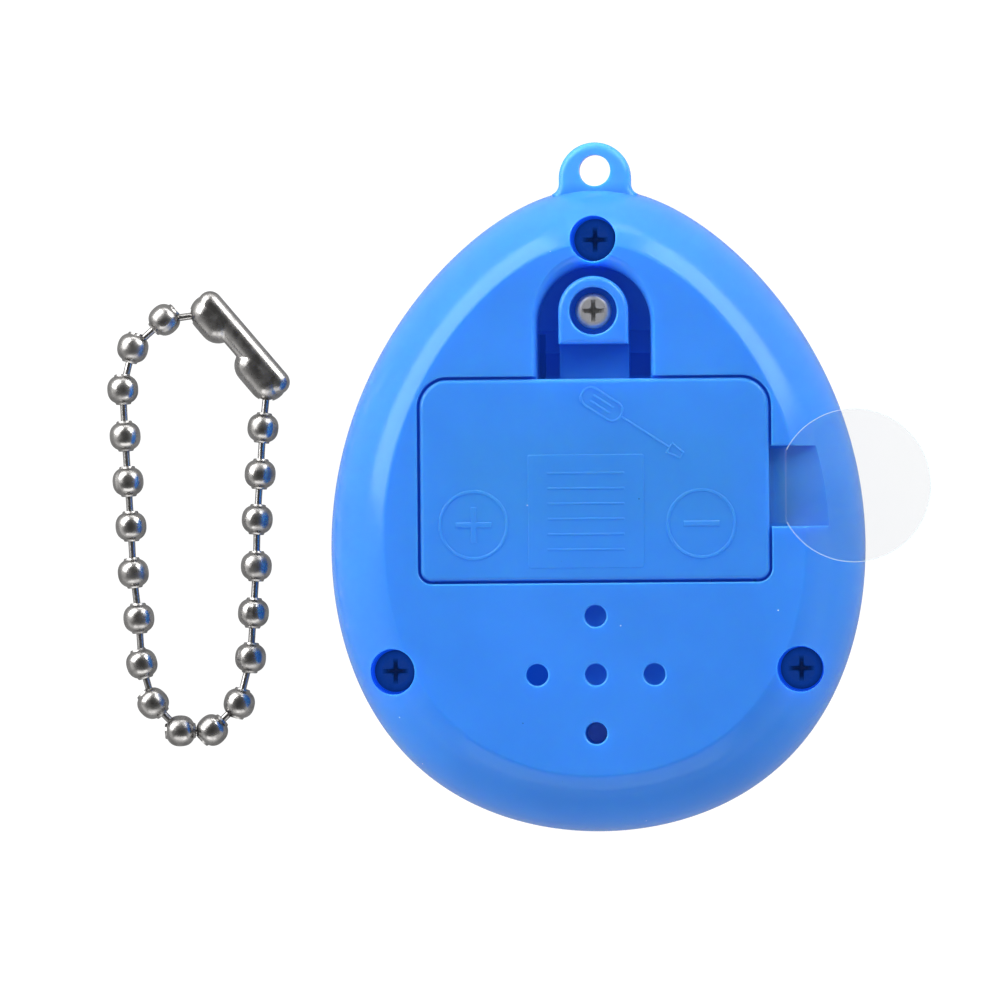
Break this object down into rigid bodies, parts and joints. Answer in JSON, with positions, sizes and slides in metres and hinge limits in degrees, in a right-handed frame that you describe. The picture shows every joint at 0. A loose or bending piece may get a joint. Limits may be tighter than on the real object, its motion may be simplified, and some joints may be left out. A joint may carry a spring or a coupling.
{
  "type": "virtual pet keychain",
  "caption": "Egg-shaped pocket electronic toy lying on its face, back up, with a screwed battery door, clear pull tab, sound holes, key loop and a ball chain beside it.",
  "frame": {"origin": "middle of the egg, on the plane of the front bezel's flat face that the toy lies on", "axes": "+Z out of the back of the case, +Y towards the key loop, +X to the right seen from the back"},
  "size_m": [0.0635, 0.0526, 0.0162],
  "materials": {
    "case_blue": "glossy translucent blue injection-moulded plastic",
    "bezel_white": "glossy white plastic",
    "window_clear": "clear acrylic",
    "mask_print": "printed dark card",
    "lcd_glass": "grey-green display glass",
    "frame_black": "satin black plastic",
    "rubber_grey": "matt silicone rubber",
    "board_green": "solder-masked glass fibre board",
    "resin_black": "black potting resin",
    "parts_tan": "ceramic chip body",
    "button_yellow": "glossy yellow plastic",
    "reset_white": "white nylon",
    "steel_bright": "nickel-plated steel",
    "steel_dark": "blackened steel screw",
    "chain_steel": "nickel-plated steel, tarnished in specks",
    "disc_blue": "thin brass disc, lacquered blue",
    "ceramic_white": "silvered piezo ceramic",
    "wire_red": "insulated wire",
    "tab_clear": "clear polyester film"
  },
  "bodies": {
    "case": {"rear_shell": "case_blue", "front_shell": "case_blue", "front_bezel": "bezel_white", "window_lens": "window_clear", "screen_mask": "mask_print", "lcd_glass": "lcd_glass", "lcd_frame": "frame_black", "zebra_strips": "rubber_grey", "circuit_board": "board_green", "chip_cover": "resin_black", "crystal_can": "steel_bright", "chip_capacitors": "parts_tan", "board_screws": "steel_bright", "keypad_pad": "rubber_grey", "buzzer_disc": "disc_blue", "buzzer_ceramic": "ceramic_white", "buzzer_wires": "wire_red", "battery_cell_left": "steel_bright", "battery_cell_right": "steel_bright", "contact_negative": "steel_bright", "contact_positive": "steel_bright", "case_screws": "steel_dark"},
    "battery_door": {"battery_door": "case_blue", "door_contact_plate": "steel_bright"},
    "battery_door_screw": {"battery_door_screw": "steel_bright"},
    "battery_pull_tab": {"battery_pull_tab": "tab_clear"},
    "button_left": {"button_left": "button_yellow"},
    "button_middle": {"button_middle": "button_yellow"},
    "button_right": {"button_right": "button_yellow"},
    "reset_plunger": {"reset_plunger": "reset_white"},
    "chain_clasp": {"chain_clasp": "chain_steel"},
    "link_01": {"chain_link_01": "chain_steel"},
    "link_02": {"chain_link_02": "chain_steel"},
    "link_03": {"chain_link_03": "chain_steel"},
    "link_04": {"chain_link_04": "chain_steel"},
    "link_05": {"chain_link_05": "chain_steel"},
    "link_06": {"chain_link_06": "chain_steel"},
    "link_07": {"chain_link_07": "chain_steel"},
    "link_08": {"chain_link_08": "chain_steel"},
    "link_09": {"chain_link_09": "chain_steel"},
    "link_10": {"chain_link_10": "chain_steel"},
    "link_11": {"chain_link_11": "chain_steel"},
    "link_12": {"chain_link_12": "chain_steel"},
    "link_13": {"chain_link_13": "chain_steel"},
    "link_14": {"chain_link_14": "chain_steel"},
    "link_15": {"chain_link_15": "chain_steel"},
    "link_16": {"chain_link_16": "chain_steel"},
    "link_17": {"chain_link_17": "chain_steel"},
    "link_18": {"chain_link_18": "chain_steel"},
    "link_19": {"chain_link_19": "chain_steel"},
    "link_20": {"chain_link_20": "chain_steel", "chain_link_21": "chain_steel"}
  },
  "joints": [
    {"name": "battery_door_hinge", "type": "hinge", "parent": "case", "child": "battery_door", "pos_m": [0, -0.00535, 0.016], "axis": [1, 0, 0], "range_deg": [0, 45]},
    {"name": "battery_door_screw_lift", "type": "slide", "parent": "case", "child": "battery_door_screw", "axis": [0, 0, 1], "range_m": [0, 0.0295]},
    {"name": "pull_tab_slide", "type": "slide", "parent": "case", "child": "battery_pull_tab", "axis": [1, 0, 0], "range_m": [0, 0.021]},
    {"name": "button_left_press", "type": "slide", "parent": "case", "child": "button_left", "axis": [0, 0, 1], "range_m": [0, 0.0007], "stiffness_N_per_m": 700},
    {"name": "button_middle_press", "type": "slide", "parent": "case", "child": "button_middle", "axis": [0, 0, 1], "range_m": [0, 0.0007], "stiffness_N_per_m": 700},
    {"name": "button_right_press", "type": "slide", "parent": "case", "child": "button_right", "axis": [0, 0, 1], "range_m": [0, 0.0007], "stiffness_N_per_m": 700},
    {"name": "reset_press", "type": "slide", "parent": "case", "child": "reset_plunger", "axis": [0, 0, -1], "range_m": [0, 0.0003], "stiffness_N_per_m": 500},
    {"name": "chain_lift", "type": "slide", "parent": "case", "child": "chain_clasp", "axis": [0, 0, 1], "range_m": [0, 0.03]},
    {"name": "chain_hinge_01", "type": "hinge", "parent": "chain_clasp", "child": "link_01", "pos_m": [-0.0301, 0.01535, 0.0012], "axis": [0, 0, -1], "range_deg": [-2.5, 4.24]},
    {"name": "chain_hinge_02", "type": "hinge", "parent": "link_01", "child": "link_02", "pos_m": [-0.03355, 0.0149, 0.0012], "axis": [0, 0, -1], "range_deg": [-4.17, 7.05]},
    {"name": "chain_hinge_03", "type": "hinge", "parent": "link_02", "child": "link_03", "pos_m": [-0.036, 0.01275, 0.0012], "axis": [0, 0, -1], "range_deg": [-3.73, 6.28]},
    {"name": "chain_hinge_04", "type": "hinge", "parent": "link_03", "child": "link_04", "pos_m": [-0.0368, 0.00955, 0.0012], "axis": [0, 0, -1], "range_deg": [-1.36, 0.82]},
    {"name": "chain_hinge_05", "type": "hinge", "parent": "link_04", "child": "link_05", "pos_m": [-0.03665, 0.00595, 0.0012], "axis": [0, 0, -1], "range_deg": [-5.05, 3]},
    {"name": "chain_hinge_06", "type": "hinge", "parent": "link_05", "child": "link_06", "pos_m": [-0.03645, 0.00245, 0.0012], "axis": [0, 0, -1], "range_deg": [-4.21, 2.5]},
    {"name": "chain_hinge_07", "type": "hinge", "parent": "link_06", "child": "link_07", "pos_m": [-0.03625, -0.001, 0.0012], "axis": [0, 0, -1], "range_deg": [-3.78, 2.25]},
    {"name": "chain_hinge_08", "type": "hinge", "parent": "link_07", "child": "link_08", "pos_m": [-0.0361, -0.0046, 0.0012], "axis": [0, 0, -1], "range_deg": [-2.08, 1.25]},
    {"name": "chain_hinge_09", "type": "hinge", "parent": "link_08", "child": "link_09", "pos_m": [-0.0357, -0.0081, 0.0012], "axis": [0, 0, -1], "range_deg": [-3.99, 2.38]},
    {"name": "chain_hinge_10", "type": "hinge", "parent": "link_09", "child": "link_10", "pos_m": [-0.0355, -0.0116, 0.0012], "axis": [0, 0, -1], "range_deg": [-0.516, 0.325]},
    {"name": "chain_hinge_11", "type": "hinge", "parent": "link_10", "child": "link_11", "pos_m": [-0.03465, -0.01465, 0.0012], "axis": [0, 0, -1], "range_deg": [-2.08, 3.48]},
    {"name": "chain_hinge_12", "type": "hinge", "parent": "link_11", "child": "link_12", "pos_m": [-0.03255, -0.0168, 0.0012], "axis": [0, 0, -1], "range_deg": [-2.5, 4.21]},
    {"name": "chain_hinge_13", "type": "hinge", "parent": "link_12", "child": "link_13", "pos_m": [-0.0301, -0.01675, 0.0012], "axis": [0, 0, -1], "range_deg": [-2.98, 5.01]},
    {"name": "chain_hinge_14", "type": "hinge", "parent": "link_13", "child": "link_14", "pos_m": [-0.028, -0.0147, 0.0012], "axis": [0, 0, -1], "range_deg": [-3.7, 6.24]},
    {"name": "chain_hinge_15", "type": "hinge", "parent": "link_14", "child": "link_15", "pos_m": [-0.0271, -0.0112, 0.0012], "axis": [0, 0, -1], "range_deg": [-0.225, 0.347]},
    {"name": "chain_hinge_16", "type": "hinge", "parent": "link_15", "child": "link_16", "pos_m": [-0.02685, -0.00775, 0.0012], "axis": [0, 0, -1], "range_deg": [-3.61, 2.15]},
    {"name": "chain_hinge_17", "type": "hinge", "parent": "link_16", "child": "link_17", "pos_m": [-0.0266, -0.00415, 0.0012], "axis": [0, 0, -1], "range_deg": [-3.31, 1.98]},
    {"name": "chain_hinge_18", "type": "hinge", "parent": "link_17", "child": "link_18", "pos_m": [-0.0265, -0.00055, 0.0012], "axis": [0, 0, -1], "range_deg": [-4.8, 2.85]},
    {"name": "chain_hinge_19", "type": "hinge", "parent": "link_18", "child": "link_19", "pos_m": [-0.02625, 0.00295, 0.0012], "axis": [0, 0, -1], "range_deg": [-4.71, 2.8]},
    {"name": "chain_hinge_20", "type": "hinge", "parent": "link_19", "child": "link_20", "pos_m": [-0.026, 0.0065, 0.0012], "axis": [0, 0, -1], "range_deg": [-4.71, 2.8]}
  ],
  "couplings": [
    {"joint": "battery_door_screw_lift", "follows": "battery_door_hinge", "m_per_rad": 0.037},
    {"joint": "chain_hinge_02", "follows": "chain_hinge_01", "ratio": 1.65},
    {"joint": "chain_hinge_03", "follows": "chain_hinge_01", "ratio": 1.47},
    {"joint": "chain_hinge_04", "follows": "chain_hinge_01", "ratio": -0.31},
    {"joint": "chain_hinge_05", "follows": "chain_hinge_01", "ratio": -1.18},
    {"joint": "chain_hinge_06", "follows": "chain_hinge_01", "ratio": -0.98},
    {"joint": "chain_hinge_07", "follows": "chain_hinge_01", "ratio": -0.88},
    {"joint": "chain_hinge_08", "follows": "chain_hinge_01", "ratio": -0.48},
    {"joint": "chain_hinge_09", "follows": "chain_hinge_01", "ratio": -0.93},
    {"joint": "chain_hinge_10", "follows": "chain_hinge_01", "ratio": -0.11},
    {"joint": "chain_hinge_11", "follows": "chain_hinge_01", "ratio": 0.81},
    {"joint": "chain_hinge_12", "follows": "chain_hinge_01", "ratio": 0.98},
    {"joint": "chain_hinge_13", "follows": "chain_hinge_01", "ratio": 1.17},
    {"joint": "chain_hinge_14", "follows": "chain_hinge_01", "ratio": 1.46},
    {"joint": "chain_hinge_15", "follows": "chain_hinge_01", "ratio": 0.07},
    {"joint": "chain_hinge_16", "follows": "chain_hinge_01", "ratio": -0.84},
    {"joint": "chain_hinge_17", "follows": "chain_hinge_01", "ratio": -0.77},
    {"joint": "chain_hinge_18", "follows": "chain_hinge_01", "ratio": -1.12},
    {"joint": "chain_hinge_19", "follows": "chain_hinge_01", "ratio": -1.1},
    {"joint": "chain_hinge_20", "follows": "chain_hinge_01", "ratio": -1.1}
  ]
}
